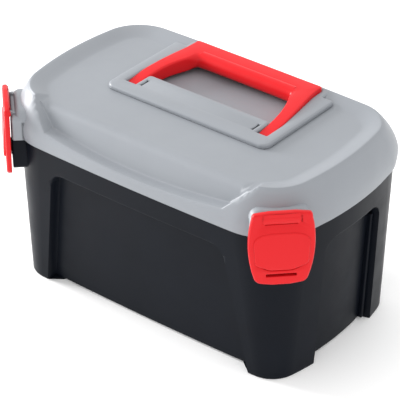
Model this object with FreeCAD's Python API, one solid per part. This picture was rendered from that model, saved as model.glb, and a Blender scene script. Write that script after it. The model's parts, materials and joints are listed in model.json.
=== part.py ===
import FreeCAD, Part
import math
import os
from FreeCAD import Vector

# Plastic hand toolbox with a lift-out tray, in millimetres, +Z up.
# X runs along the box, the latches are on the two front (-Y) corners and the lid hinges at
# the rear (+Y).
# The origin is on the floor at the middle of the whole box.

# ---- driving dimensions -------------------------------------------------------------------------
box_length = 384.0        # lid at the seam
box_width = 240.0
seam_height = 176.0       # where the lid meets the tub
rim_height = 224.0        # top of the lid's raised rim
tub_wall = 2.4
lid_wall = 2.4

side_curve = 4200.0       # radius of the gently bowed long sides
end_curve = 340.0         # radius of the bowed ends
seam_corner = 62.0
rim_corner = 46.0
foot_corner = 31.0
tub_step = 2.6            # lid stands proud of the tub by this much
foot_inset_x = 11.5
foot_inset_y = 18.0
rim_inset_x = 12.0
rim_inset_y = 20.0
rim_shift = -2.5         # the rim sits a little forward of the middle
rim_land = 3.0            # width of the rim's flat top
belt_height = 190.0       # the lid is widest here, above the seam
belt_out = 1.5
shoulder_height = 207.0   # between belt and rim the lid's skirt is gently convex
shoulder_bulge = 2.8

recess_depth = 11.0       # panels pressed into the tub's four sides
recess_top = 150.0
recess_corner = 20.0
front_panel_half_top = 111.0
front_panel_half_bottom = 135.0
end_panel_half_top = 48.0
end_panel_half_bottom = 50.5
end_panel_shift = 5.0     # the end panels sit a little to the rear
foot_lift = 3.0           # the floor between the corner feet is this far off the ground
tongue_height = 5.0       # tub lip that stands inside the lid
tongue_wall = 2.0
lip_clearance = 0.6
end_rib_width = 4.0       # upright stiffening ribs in each end panel
end_rib_depth = 5.0
end_rib_place = 43.5      # from the middle of the panel
end_rib_top = 134.0

dish_slope = 16.5         # width of the slope from the rim down to the dish
dish_floor = 218.5
scoop_half = 114.0        # half-length of the scoop's ledge along the front of the lid
scoop_flare = 1.1         # the scoop's ends lean outwards by this much for each unit of height
scoop_rear = 97.0         # shoulder, behind which the dish is flat
ledge_rear = 106.0        # foot of the scoop's steep wall
ledge_height = 190.5      # middle of the smile-shaped ledge
ledge_rise = 7.0          # how much higher its ends are

island_half = 102.0
island_front = -33.0
island_rear = 80.0
island_neck = 90.0        # half-length of the part behind that, which runs into the rear rim
island_top = 222.0
island_corner = 7.0
pan_floor = 205.0
pan_front = 6.0
pan_clearance = 1.2
clip_slot_width = 3.5     # slots beside the handle's ends, which let its arms spring in
clip_slot_length = 15.0
clip_slot_gap = 2.2       # wall left between slot and arm

handle_top = 228.0
handle_bottom = 211.0
handle_rear = 92.0
grip_front = 65.0
grip_roll = 7.5           # round front of the grip
handle_half_front = 91.5  # outside of the arms at the pivots
handle_half_rear = 81.0   # outside of the arms at the grip
arm_width_front = 14.0
arm_width_rear = 21.0
handle_pivot_y = -11.0
handle_pivot_z = 215.0
arm_end_radius = 5.5
handle_pin_radius = 2.5
pin_clearance = 0.05

latch_width = 65.0
latch_end_width = 50.0
latch_bottom = 131.0
latch_top = 213.5
latch_thickness = 5.5
latch_stand_off = 8.5     # latch's outer face beyond the box corner
latch_pivot_z = 207.0
latch_pivot_out = 5.0
latch_knuckle_radius = 4.2
latch_knuckle_half = 18.0
latch_pin_radius = 1.2
latch_ear_width = 3.0
latch_ear_radius = 2.2
ear_web_drop = 0.5        # tops and undersides of the lugs' webs, below the pin
ear_root_high = 9.0
ear_root_low = 16.0
latch_slit = 1.0          # gaps beside the knuckle
latch_top_corner = 6.0
latch_foot_corner = 10.0
latch_edge = 2.5          # round rear top edge, which swings past the pedestal
pad_half = 26.0           # raised thumb pad
pad_low = 17.0            # above the latch's foot
pad_high = 58.0
pad_corner = 9.0
pad_rise = 2.2
hook_height = 4.0
hook_gap = 2.0            # below the catch lip
hook_reach = 0.4          # behind the face of the catch lip
latch_play = 0.5
pedestal_half = 29.0
pedestal_out = -2.8
pedestal_front_top = 202.0
pedestal_top = 211.0
pedestal_slope = 8.0      # depth of the slope between those two heights
boss_depth = 24.0
boss_corner = 5.0
boss_bottom = 138.0
boss_out = 1.6
catch_height = 152.0
catch_reach = 0.6
catch_lip = 3.0
slot_length = 30.0
slot_height = 3.2
slot_low = 10.0           # above the latch's foot

hinge_x = 100.0
hinge_barrel_radius = 5.0
hinge_pin_radius = 2.0
hinge_knuckle_length = 13.0
hinge_play = 0.5
hinge_web = 13.0          # height of the webs that carry the hinge barrels
hinge_z = 176.0

tray_wall = 1.8
tray_depth = 45.0
tray_gap = 2.0            # between the tray and the tub's walls
tray_seat_gap = 0.3
tray_flange = 8.0
tray_rim_height = 4.0
tray_corner = 22.0
spine_half = 66.0         # half-length of the raised wall that carries the tray's bail
spine_rise = 12.0
bail_half = 58.0
bail_height = 30.0
bail_bar = 7.0
bail_pin_radius = 2.5
spine_foot = 10.0         # how much longer the spine's shoulders are than its top
spine_base = 8.0          # the spine and the cross wall meet this far under the tray's rim
cross_wall_drop = 6.0     # the cross wall's top under the tray's rim
window_play = 1.0         # room round the bail in the spine
bail_axis_drop = 6.0      # the bail's axis under the spine's top
divider_front_x = 105.0
divider_rear_x = 75.0
divider_thickness = 1.8
divider_gap = 0.3
divider_rib = 2.0
divider_rib_reach = 1.5
divider_drop = 9.0        # the dividers' top edges under the tray's rim
tray_spread = 1.0         # the tray's walls lean out by this much
flange_thickness = 2.5

# ---- sizes that follow from them ---------------------------------------------------------------
half_length = box_length / 2
half_width = box_width / 2
diagonal = math.sqrt(0.5)
corner_x = half_length - seam_corner * (1 - diagonal)
corner_y = half_width - seam_corner * (1 - diagonal)
front_reach = corner_y + (latch_stand_off + latch_width / 2) * diagonal
hinge_y = front_reach - hinge_barrel_radius   # the hinge reaches as far back as the latches reach forward
far = 400.0               # longer than anything on the box


# ---- helpers -----------------------------------------------------------------------------------
def outline(half_x, half_y, corner, z):
    """Plan outline of eight tangent arcs: four bowed sides and four corners."""
    reach_x = end_curve - corner
    reach_y = side_curve - corner
    x1 = half_x - end_curve
    y2 = half_y - side_curve
    # the corner's centre lies at reach_x from (x1, 0) and at reach_y from (0, y2)
    span = math.hypot(x1, y2)
    along = (reach_x ** 2 - reach_y ** 2 + span ** 2) / (2 * span)
    off = math.sqrt(reach_x ** 2 - along ** 2)
    ux = -x1 / span
    uy = y2 / span
    cx = x1 + along * ux - off * uy
    cy = along * uy + off * ux
    ax = math.atan2(cy, cx - x1)
    ay = math.atan2(cy - y2, cx)
    on_end = (cx + corner * math.cos(ax), cy + corner * math.sin(ax))
    on_side = (cx + corner * math.cos(ay), cy + corner * math.sin(ay))
    mid = (ax + ay) / 2
    on_corner = (cx + corner * math.cos(mid), cy + corner * math.sin(mid))

    def point(p, sx, sy):
        return Vector(p[0] * sx, p[1] * sy, z)

    arcs = []
    signs = [(1, 1), (-1, 1), (-1, -1), (1, -1)]
    for i, (sx, sy) in enumerate(signs):
        first, last = (on_end, on_side) if sx * sy > 0 else (on_side, on_end)
        arcs.append(Part.Arc(point(first, sx, sy), point(on_corner, sx, sy), point(last, sx, sy)))
        nx, ny = signs[(i + 1) % 4]
        crown = (0, half_y) if sx * sy > 0 else (half_x, 0)
        arcs.append(Part.Arc(point(last, sx, sy), point(crown, sx, sy), point(last, nx, ny)))
    return Part.Wire([arc.toShape() for arc in arcs])


def loft(*wires):
    return Part.makeLoft(list(wires), True, True)


def box(x0, x1, y0, y1, z0, z1):
    return Part.makeBox(x1 - x0, y1 - y0, z1 - z0, Vector(x0, y0, z0))


def prism(points, direction):
    wire = Part.makePolygon([Vector(*p) for p in points + points[:1]])
    return Part.Face(wire).extrude(Vector(*direction))


def rounded(solid, radius, chosen):
    """Fillet the edges for which chosen(centre, edge) is true."""
    edges = [e for e in solid.Edges if chosen(e.CenterOfMass, e)]
    return solid.makeFillet(radius, edges)


def along_axis(edge, axis):
    if not isinstance(edge.Curve, Part.Line):
        return False
    return abs(abs(edge.Curve.Direction.dot(axis)) - 1) < 1e-6


X = Vector(1, 0, 0)
Y = Vector(0, 1, 0)
Z = Vector(0, 0, 1)


def rod(radius, start, direction, length):
    return Part.makeCylinder(radius, length, Vector(*start), direction)


def at_corner(shape, side):
    """Carry a shape drawn facing -Y at the origin to a front corner; side is +1 right, -1 left."""
    placed = shape.copy()
    placed.rotate(Vector(0, 0, 0), Z, 45 * side)
    placed.translate(Vector(corner_x * side, -corner_y, 0))
    return placed


def joined(first, *others):
    return first.multiFuse(list(others)).removeSplitter()


# ---- tub ---------------------------------------------------------------------------------------
tub_half_x = half_length - tub_step
tub_half_y = half_width - tub_step
tub_corner = seam_corner - tub_step


def tub_hull(inset):
    """The tub's tapered block, drawn in by inset; it runs past its top by as much."""
    low = outline(half_length - foot_inset_x - inset, half_width - foot_inset_y - inset,
                  foot_corner, 0)
    high = outline(tub_half_x - inset, tub_half_y - inset, tub_corner - min(inset, 4), seam_height)
    return loft(low, high)


def panel_tool(half_bottom, half_top, grow, shift, axis):
    """Trapezoid prism with round top corners that presses a panel into opposite sides."""
    tool = prism([(-half_bottom - grow, -far, -1), (half_bottom + grow, -far, -1),
                  (half_top + grow, -far, recess_top + grow),
                  (-half_top - grow, -far, recess_top + grow)], (0, 2 * far, 0))
    tool = rounded(tool, recess_corner, lambda c, e: along_axis(e, Y) and c.z > recess_top / 2)
    if axis == X:
        tool.rotate(Vector(0, 0, 0), Z, 90)
    tool.translate(Vector(0, shift, 0))
    return tool


def tub_block(inset, grow):
    """Corner columns and upper band outside, pressed-in panels between them."""
    columns = tub_hull(inset)
    columns = columns.cut(panel_tool(front_panel_half_bottom, front_panel_half_top, grow, 0, Y))
    columns = columns.cut(panel_tool(end_panel_half_bottom, end_panel_half_top, grow,
                                     end_panel_shift, X))
    block = columns.fuse(tub_hull(inset + recess_depth))
    if inset > 0:
        return block
    for y in (end_panel_shift - end_rib_place, end_panel_shift + end_rib_place):
        rib = box(-far, far, y - end_rib_width / 2, y + end_rib_width / 2, 0, end_rib_top)
        block = block.fuse(rib.common(tub_hull(recess_depth - end_rib_depth)))
    return block


def tub_catch_boss():
    boss = box(-pedestal_half, pedestal_half, -boss_out, boss_depth,
               boss_bottom, seam_height - latch_play)
    boss = rounded(boss, boss_corner, lambda c, e: c.y < 0 and c.z < seam_height - 1)
    lip = box(-slot_length / 2, slot_length / 2, -boss_out - catch_reach, 0,
              catch_height, catch_height + catch_lip)
    return joined(boss, lip)


def knuckle(x0, length, rising):
    """Hinge barrel on a web; the lid's web rises from the axis and the tub's hangs below it."""
    barrel = rod(hinge_barrel_radius, (x0, hinge_y, hinge_z), X, length)
    foot = hinge_z + hinge_web if rising else hinge_z - hinge_web
    bow = hinge_x ** 2 / (2 * side_curve)
    inner = half_width - bow - lid_wall / 2 if rising else hinge_y - 2.5 * hinge_barrel_radius
    web = prism([(x0, hinge_y + hinge_barrel_radius, hinge_z), (x0, inner, hinge_z),
                 (x0, inner, foot)], (length, 0, 0))
    return joined(barrel, web)


knuckle_reach = 1.5 * hinge_knuckle_length + hinge_play


def hinge_bore(x):
    reach = knuckle_reach + 5
    return rod(hinge_pin_radius + pin_clearance, (x - reach, hinge_y, hinge_z), X, 2 * reach)


def tub_shape():
    block = tub_block(0, 0)
    for side in (1, -1):
        block = block.fuse(at_corner(tub_catch_boss(), side))
    for x in (-hinge_x, hinge_x):
        for x0 in (x - knuckle_reach, x + knuckle_reach - hinge_knuckle_length):
            block = block.fuse(knuckle(x0, hinge_knuckle_length, False))
    lip_in = lid_wall + lip_clearance - tub_step
    tongue = loft(*[outline(tub_half_x - lip_in, tub_half_y - lip_in, tub_corner - lip_in, z)
                    for z in (seam_height - 3, seam_height + tongue_height)])
    block = block.fuse(tongue)
    cavity = tub_block(tub_wall, tub_wall)
    throat_in = lip_in + tongue_wall
    throat = loft(*[outline(tub_half_x - throat_in, tub_half_y - throat_in, tub_corner - throat_in, z)
                    for z in (seam_height - 8, seam_height + tongue_height + 1)])
    floor_top = foot_lift + tub_wall
    cavity = cavity.common(box(-far, far, -far, far, floor_top, seam_height - 6))
    tub = block.cut(cavity.fuse(throat))
    tub = tub.cut(box(-front_panel_half_bottom, front_panel_half_bottom, -far, far, -1, foot_lift))
    tub = tub.cut(box(-far, far, end_panel_shift - end_panel_half_bottom,
                      end_panel_shift + end_panel_half_bottom, -1, foot_lift))
    for x in (-hinge_x, hinge_x):
        tub = tub.cut(hinge_bore(x))
    return tub.removeSplitter()


# ---- lid ---------------------------------------------------------------------------------------
def handle_plan(grow, z0, z1):
    """Outside of the folded handle seen from above, grown by a clearance."""
    front = handle_pivot_y - arm_end_radius - grow
    rear = handle_rear + grow
    points = [(-handle_half_front - grow, front, z0), (handle_half_front + grow, front, z0),
              (handle_half_front + grow, 10, z0), (handle_half_rear + grow, rear, z0),
              (-handle_half_rear - grow, rear, z0), (-handle_half_front - grow, 10, z0)]
    return prism(points, (0, 0, z1 - z0))


def pan_tool(grow):
    """Room for the folded handle and for the fingers that lift it."""
    room = handle_plan(pan_clearance + grow, pan_floor - grow, rim_height + 20)
    inner = handle_half_front - arm_width_front - pan_clearance - grow
    tongue = box(-inner, inner, -far, pan_front - grow, 0, far)
    room = room.cut(tongue)
    return rounded(room, 3, lambda c, e: along_axis(e, Z) and c.y > 50)


def clip_slots():
    """Short slots just inside the handle's ends."""
    outer = handle_half_front - arm_width_front - pan_clearance - clip_slot_gap
    start = handle_pivot_y - arm_end_radius
    return [box(x, x + clip_slot_width, start, start + clip_slot_length, handle_pivot_z, far)
            for x in (outer - clip_slot_width, -outer)]


def between_scoop_ends(grow, low):
    """Room between the scoop's flared ends, from a height upwards and from the front to the middle."""
    shift = grow * math.hypot(1, scoop_flare)
    top = rim_height + 20

    def reach(z):
        return scoop_half + shift + (z - ledge_height - ledge_rise) * scoop_flare

    return prism([(-reach(low), -far, low), (reach(low), -far, low),
                  (reach(top), -far, top), (-reach(top), -far, top)], (0, far, 0))


def scoop_tool(grow):
    """Scoop along the front: a smile-shaped ledge, a steep wall and round shoulders."""
    low = ledge_height - 2 - grow
    profile = [(-far, -scoop_rear + grow, rim_height + 20), (-far, -far, rim_height + 20),
               (-far, -far, low), (-far, -ledge_rear + grow, low), (-far, -scoop_rear + grow, dish_floor)]
    wall_side = prism(profile, (2 * far, 0, 0))
    bow = (scoop_half ** 2 + ledge_rise ** 2) / (2 * ledge_rise)
    ledge = Part.makeCylinder(bow, 2 * far, Vector(0, -far, ledge_height - grow + bow), Y)
    return wall_side.common(between_scoop_ends(grow, ledge_height - grow).common(ledge))


def rim_outline(inset, z):
    """Plan outline drawn in from the rim's outer edge."""
    wire = outline(half_length - rim_inset_x - inset, half_width - rim_inset_y - inset,
                   rim_corner - inset, z)
    wire.translate(Vector(0, rim_shift, 0))
    return wire


def belt_outline(out, z):
    return outline(half_length + out, half_width + out, seam_corner + out, z)


def lid_block(inset):
    """The lid's outside shape, drawn in by inset all over."""
    share = (shoulder_height - belt_height) / (rim_height - belt_height)
    out = shoulder_bulge - inset + belt_out * (1 - share)
    shoulder = outline(half_length - rim_inset_x * share + out,
                       half_width - rim_inset_y * share + out,
                       seam_corner + (rim_corner - seam_corner) * share + out, shoulder_height)
    shoulder.translate(Vector(0, rim_shift * share, 0))
    sections = [belt_outline(-inset, seam_height), belt_outline(belt_out - inset, belt_height),
                shoulder, rim_outline(inset, rim_height - inset)]
    hull = Part.makeLoft(sections, True, False)
    floor = dish_floor - inset
    rim_edge = rim_land - inset
    dish = loft(rim_outline(rim_edge + dish_slope, floor), rim_outline(rim_edge, rim_height + 1))
    opening = between_scoop_ends(inset, floor)
    block = hull.cut(dish).cut(opening).cut(scoop_tool(inset))
    island = box(-island_half + inset, island_half - inset,
                 island_front + inset, island_rear - inset, floor - 20, island_top - inset)
    island = rounded(island, island_corner - inset, lambda c, e: along_axis(e, Z) and c.y < 0)
    neck = box(-island_neck + inset, island_neck - inset, 0, handle_rear + 3,
               floor - 20, island_top - inset)
    island = island.fuse(neck)
    return block.fuse(island.common(hull))


def latch_pedestal():
    """Block on the lid's corner behind a latch; its top slopes back into the skirt."""
    low = seam_height + latch_play
    rear = 30
    points = [(-pedestal_out, low), (rear, low), (rear, pedestal_top),
              (-pedestal_out + pedestal_slope, pedestal_top), (-pedestal_out, pedestal_front_top)]
    return prism([(-pedestal_half, y, z) for y, z in points], (2 * pedestal_half, 0, 0))


def latch_ears():
    """Two lugs on the pedestal that hold the latch's pin, on webs that slope down and back from it."""
    root = -pedestal_out + pedestal_slope
    web = [(-latch_pivot_out, latch_pivot_z - ear_web_drop), (root, latch_pivot_z - ear_root_high),
           (root, latch_pivot_z - ear_root_low), (-latch_pivot_out, latch_pivot_z - latch_ear_radius)]
    parts = []
    for x0 in (latch_knuckle_half + latch_play, -latch_knuckle_half - latch_play - latch_ear_width):
        lug = rod(latch_ear_radius, (x0, -latch_pivot_out, latch_pivot_z), X, latch_ear_width)
        parts.append(joined(lug, prism([(x0, y, z) for y, z in web], (latch_ear_width, 0, 0))))
    return parts


def lid_shape():
    block = lid_block(0)
    for side in (1, -1):
        block = block.fuse(at_corner(latch_pedestal(), side))
    block = block.cut(scoop_tool(0))
    inner = lid_block(lid_wall).cut(pan_tool(lid_wall))
    room_below = loft(belt_outline(-lid_wall, seam_height - 1),
                      belt_outline(-lid_wall, seam_height + 0.5))
    lid = block.cut(inner).cut(room_below).cut(pan_tool(0))
    for slot in clip_slots():
        lid = lid.cut(slot)
    for side in (1, -1):
        for ear in latch_ears():
            lid = lid.fuse(at_corner(ear, side))
        bore = rod(latch_pin_radius + pin_clearance, (-30, -latch_pivot_out, latch_pivot_z), X, 60)
        lid = lid.cut(at_corner(bore, side))
    for x in (-hinge_x, hinge_x):
        lid = lid.fuse(knuckle(x - hinge_knuckle_length / 2, hinge_knuckle_length, True))
        lid = lid.cut(hinge_bore(x))
    lid = lid.cut(rod(handle_pin_radius + pin_clearance,
                      (-handle_half_front - 6, handle_pivot_y, handle_pivot_z), X,
                      2 * handle_half_front + 12))
    return lid.removeSplitter()


# ---- carry handle ------------------------------------------------------------------------------
def handle_shape():
    """Two deep curved arms and a grip, folded down to the rear."""
    y0 = handle_pivot_y
    z0 = handle_pivot_z
    top_start = Vector(0, y0, z0 + arm_end_radius)
    top_end = Vector(0, handle_rear, handle_top)
    low_start = Vector(0, y0, z0 - arm_end_radius)
    low_end = Vector(0, handle_rear, handle_bottom)
    mid_y = (y0 + handle_rear) / 2
    edges = [Part.Arc(top_start, Vector(0, mid_y, handle_top - 1.2), top_end).toShape(),
             Part.LineSegment(top_end, low_end).toShape(),
             Part.Arc(low_end, Vector(0, mid_y + 12, handle_bottom + 0.5), low_start).toShape(),
             Part.Arc(low_start, Vector(0, y0 - arm_end_radius, z0), top_start).toShape()]
    side_view = Part.Face(Part.Wire(edges))
    side_view.translate(Vector(-far, 0, 0))
    body = side_view.extrude(Vector(2 * far, 0, 0)).common(handle_plan(0, 0, far))
    inner_front = handle_half_front - arm_width_front
    inner_rear = handle_half_rear - arm_width_rear
    gap = prism([(-inner_front, -far, 0), (inner_front, -far, 0), (inner_front, 10, 0),
                 (inner_rear, grip_front, 0), (-inner_rear, grip_front, 0), (-inner_front, 10, 0)],
                (0, 0, far))
    body = body.cut(gap)
    body = rounded(body, grip_roll, lambda c, e: along_axis(e, X) and 10 < c.y < grip_front + 1)
    bore = rod(handle_pin_radius + pin_clearance, (-far, y0, z0), X, 2 * far)
    return body.cut(bore)


def handle_pin(side):
    length = arm_width_front + 2 * pan_clearance + 5
    start = (handle_half_front + pan_clearance + 2.5) * side
    return rod(handle_pin_radius, (start, handle_pivot_y, handle_pivot_z), X * -side, length)


# ---- latches -----------------------------------------------------------------------------------
def latch_face():
    """Barrel-shaped outline of the latch: widest above the middle, with round corners."""
    w_top = latch_width / 2 - 5
    w_mid = latch_width / 2
    w_low = latch_end_width / 2
    z_mid = latch_bottom + 0.45 * (latch_top - latch_bottom)
    y = -latch_stand_off
    points = [Vector(-w_low, y, latch_bottom), Vector(w_low, y, latch_bottom),
              Vector(w_top, y, latch_top), Vector(-w_top, y, latch_top)]
    edges = [Part.LineSegment(points[0], points[1]).toShape(),
             Part.Arc(points[1], Vector(w_mid, y, z_mid), points[2]).toShape(),
             Part.LineSegment(points[2], points[3]).toShape(),
             Part.Arc(points[3], Vector(-w_mid, y, z_mid), points[0]).toShape()]
    return Part.Face(Part.Wire(edges))


def latch_shape():
    plate = latch_face().extrude(Vector(0, latch_thickness, 0))
    plate = rounded(plate, latch_top_corner, lambda c, e: along_axis(e, Y) and c.z > latch_pivot_z)
    plate = rounded(plate, latch_foot_corner, lambda c, e: along_axis(e, Y) and c.z < catch_height)
    plate = rounded(plate, latch_edge, lambda c, e: along_axis(e, X) and c.z > latch_top - 1
                    and c.y > -latch_pivot_out)
    room = latch_ear_radius + latch_play
    pocket_end = latch_knuckle_half + latch_ear_width + 2 * latch_play
    for side in (1, -1):
        x0, x1 = sorted((side * latch_knuckle_half, side * pocket_end))
        pocket = rod(room, (x0, -latch_pivot_out, latch_pivot_z), X, x1 - x0)
        open_rear = box(x0, x1, -latch_pivot_out, far, latch_pivot_z - 3 * latch_ear_radius, far)
        slit_x = sorted((side * latch_knuckle_half, side * (latch_knuckle_half + latch_slit)))
        slit = box(slit_x[0], slit_x[1], -far, far,
                   latch_pivot_z - latch_knuckle_radius, latch_top - 2)
        plate = plate.cut(pocket).cut(open_rear).cut(slit)
    pad = box(-pad_half, pad_half, -latch_stand_off - pad_rise, -latch_stand_off + 1,
              latch_bottom + pad_low, latch_bottom + pad_high)
    pad = rounded(pad, pad_corner, lambda c, e: along_axis(e, Y))
    barrel = rod(latch_knuckle_radius, (-latch_knuckle_half, -latch_pivot_out, latch_pivot_z), X,
                 2 * latch_knuckle_half)
    hook_top = catch_height - hook_gap
    hook = box(-slot_length / 2, slot_length / 2,
               -latch_stand_off + 1, -boss_out - catch_reach - hook_reach,
               hook_top - hook_height, hook_top)
    latch = joined(plate, pad, barrel, hook)
    slot_z = latch_bottom + slot_low
    latch = latch.cut(box(-slot_length / 2, slot_length / 2, -far, 0, slot_z, slot_z + slot_height))
    bore = rod(latch_pin_radius + pin_clearance, (-far, -latch_pivot_out, latch_pivot_z), X, 2 * far)
    return latch.cut(bore)


def latch_pin():
    reach = latch_knuckle_half + latch_play + latch_ear_width
    return rod(latch_pin_radius, (-reach, -latch_pivot_out, latch_pivot_z), X, 2 * reach)


# ---- tray --------------------------------------------------------------------------------------
tray_top = recess_top + tub_wall + tray_seat_gap + tray_rim_height
tray_floor = tray_top - tray_depth


def inner_half(z, inset_low, inset_high):
    """Half-size of the tub's inside at height z between the pressed-in panels."""
    return inset_low + (inset_high - inset_low) * z / seam_height


inside = tub_wall + recess_depth + tray_gap
tray_half_x = inner_half(tray_floor, half_length - foot_inset_x, tub_half_x) - inside
tray_half_y = inner_half(tray_floor, half_width - foot_inset_y, tub_half_y) - inside
bail_axis_z = tray_top + spine_rise - bail_axis_drop


def tray_spine():
    """Cross wall of the tray with the raised spine that carries the bail."""
    base = tray_top - spine_base
    low = box(-tray_half_x, tray_half_x, -tray_wall, tray_wall, tray_floor, tray_top - cross_wall_drop)
    crown = spine_half + 4
    corners = [(-crown - spine_foot, base), (crown + spine_foot, base),
               (crown, tray_top + spine_rise), (-crown, tray_top + spine_rise)]
    spine = prism([(x, -tray_wall, z) for x, z in corners], (0, 2 * tray_wall, 0))
    half = bail_half + bail_bar / 2 + window_play
    window = box(-half, half, -far, far, tray_top - cross_wall_drop, far)
    return [low, spine.cut(window)]


def divider_ribs(x, half):
    """Four ribs that guide one divider; half is -1 in the front half of the tray, +1 in the rear."""
    near = divider_thickness / 2 + divider_gap
    reach = divider_rib_reach
    ribs = []
    for x0 in (x + near, x - near - divider_rib):
        for y in (tray_wall * half, (tray_half_y - tray_wall) * half):
            ribs.append(box(x0, x0 + divider_rib, y - reach, y + reach,
                            tray_floor + 1, tray_top - spine_base))
    return ribs


def tray_shape():
    flange_low = tray_top - tray_rim_height
    body = loft(outline(tray_half_x, tray_half_y, tray_corner, tray_floor),
                outline(tray_half_x + tray_spread, tray_half_y + tray_spread, tray_corner, tray_top))
    flange = loft(*[outline(tray_half_x + tray_flange, tray_half_y + tray_flange,
                            tray_corner + tray_flange, z)
                    for z in (flange_low, flange_low + flange_thickness)])
    spread = tray_spread - tray_wall
    inner = loft(outline(tray_half_x - tray_wall, tray_half_y - tray_wall, tray_corner - tray_wall,
                         tray_floor + tray_wall),
                 outline(tray_half_x + spread, tray_half_y + spread, tray_corner - tray_wall,
                         tray_top + 1))
    tray = joined(joined(body, flange).cut(inner), *tray_spine())
    for half, place in ((-1, divider_front_x), (1, divider_rear_x)):
        for x in (-place, place):
            tray = joined(tray, *divider_ribs(x, half))
    reach = spine_half + 2
    bore = rod(bail_pin_radius + pin_clearance, (-reach, 0, bail_axis_z), X, 2 * reach)
    return tray.cut(bore).removeSplitter()


def bail_shape():
    """Bail that carries the tray, folded flat towards the front."""
    r = bail_bar / 2
    z = bail_axis_z
    pieces = []
    for side in (1, -1):
        x = bail_half * side
        pieces.append(box(x - r, x + r, -bail_height + r, 0, z - r, z + r))
        pieces.append(rod(r, (x - r, 0, z), X, bail_bar))
        stub = rod(bail_pin_radius, (x, 0, z), X * side, spine_half - bail_half + 1)
        pieces.append(stub)
    pieces.append(box(-bail_half - r, bail_half + r, -bail_height - r, -bail_height + r, z - r, z + r))
    return joined(*pieces)


def divider_shape(x, side):
    """Plate that drops between two pairs of ribs in the front or rear half of the tray."""
    near = tray_wall + divider_gap
    bow = x ** 2 / (2 * side_curve)
    far_y = tray_half_y - tray_wall - divider_gap - bow
    y0, y1 = (near, far_y) if side > 0 else (-far_y, -near)
    half = divider_thickness / 2
    low = tray_floor + tray_wall + divider_gap
    return box(x - half, x + half, y0, y1, low, tray_top - divider_drop)


# ---- write every piece -------------------------------------------------------------------------
pieces = {
    "tub": tub_shape(),
    "lid": lid_shape(),
    "carry_handle": handle_shape(),
    "handle_pin_right": handle_pin(1),
    "handle_pin_left": handle_pin(-1),
    "tray": tray_shape(),
    "tray_bail": bail_shape(),
}
for name, side in (("right", 1), ("left", -1)):
    pieces["latch_" + name] = at_corner(latch_shape(), side)
    pieces["latch_pin_" + name] = at_corner(latch_pin(), side)
    pieces["hinge_pin_" + name] = rod(hinge_pin_radius,
                                      (hinge_x * side - knuckle_reach, hinge_y, hinge_z),
                                      X, 2 * knuckle_reach)
    pieces["divider_front_" + name] = divider_shape(divider_front_x * side, -1)
    pieces["divider_rear_" + name] = divider_shape(divider_rear_x * side, 1)

os.makedirs("parts", exist_ok=True)
for name, shape in pieces.items():
    shape.exportStep("parts/" + name + ".step")
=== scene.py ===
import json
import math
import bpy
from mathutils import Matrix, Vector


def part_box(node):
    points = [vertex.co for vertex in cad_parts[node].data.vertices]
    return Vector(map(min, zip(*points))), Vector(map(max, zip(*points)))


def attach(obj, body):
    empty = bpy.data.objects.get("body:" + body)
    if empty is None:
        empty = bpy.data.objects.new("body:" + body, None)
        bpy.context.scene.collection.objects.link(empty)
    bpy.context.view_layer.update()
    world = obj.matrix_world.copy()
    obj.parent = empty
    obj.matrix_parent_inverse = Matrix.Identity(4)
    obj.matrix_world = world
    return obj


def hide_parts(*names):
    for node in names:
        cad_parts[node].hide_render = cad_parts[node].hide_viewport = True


bl_info = {
    "name": "Toolbox with tray",
    "version": (1, 0, 0),
    "blender": (4, 5, 0),
    "location": "View3D > Sidebar > Toolbox",
    "description": "Builds the mouldings and finishes of a plastic toolbox around its fixed frame",
    "category": "Object",
}

import bmesh
import bpy
import numpy as np
from mathutils import Matrix, Vector

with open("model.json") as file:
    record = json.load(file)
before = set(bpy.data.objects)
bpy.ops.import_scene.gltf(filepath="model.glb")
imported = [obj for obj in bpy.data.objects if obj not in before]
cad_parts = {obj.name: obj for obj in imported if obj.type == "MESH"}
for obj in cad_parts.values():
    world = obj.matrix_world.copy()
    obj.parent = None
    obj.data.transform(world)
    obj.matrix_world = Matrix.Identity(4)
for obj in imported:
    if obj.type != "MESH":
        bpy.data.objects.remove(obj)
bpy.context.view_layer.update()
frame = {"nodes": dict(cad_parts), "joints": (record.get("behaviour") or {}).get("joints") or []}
JOINTS = {joint["name"]: joint for joint in frame["joints"]}


def mm(value):
    return value * 0.001


# ---- places read from the frame -----------------------------------------------------------------
LID_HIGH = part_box("lid")[1]
HANDLE_LOW, HANDLE_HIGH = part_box("carry_handle")
LATCH_LOW, LATCH_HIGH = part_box("latch_right")
HINGE_LOW, HINGE_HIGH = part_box("hinge_pin_right")
HINGE = Vector(JOINTS["lid_hinge"]["pos_m"])
HANDLE_PIVOT = Vector(JOINTS["handle_fold"]["pos_m"])
LATCH_PIVOT = Vector(JOINTS["latch_right_swing"]["pos_m"])
SEAM = HINGE.z
RIM = min(LID_HIGH.z, mm(224))
SEAM_GAP = mm(0.5)   # blocks on the lid and on the tub stop this far from the seam
SIDES = {1: "right", -1: "left"}
STANDING = Matrix.Rotation(math.radians(90), 4, "X")


# ---- what a user may change ---------------------------------------------------------------------
def length(name, description, millimetres):
    return bpy.props.FloatProperty(name=name, description=description, default=mm(millimetres),
                                   unit="LENGTH")


def ratio(name, description, value, low, high):
    return bpy.props.FloatProperty(name=name, description=description, default=value, min=low, max=high)


def colour(name, description, red, green, blue):
    return bpy.props.FloatVectorProperty(name=name, description=description, subtype="COLOR",
                                         size=3, min=0, max=1, default=(red, green, blue))


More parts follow.
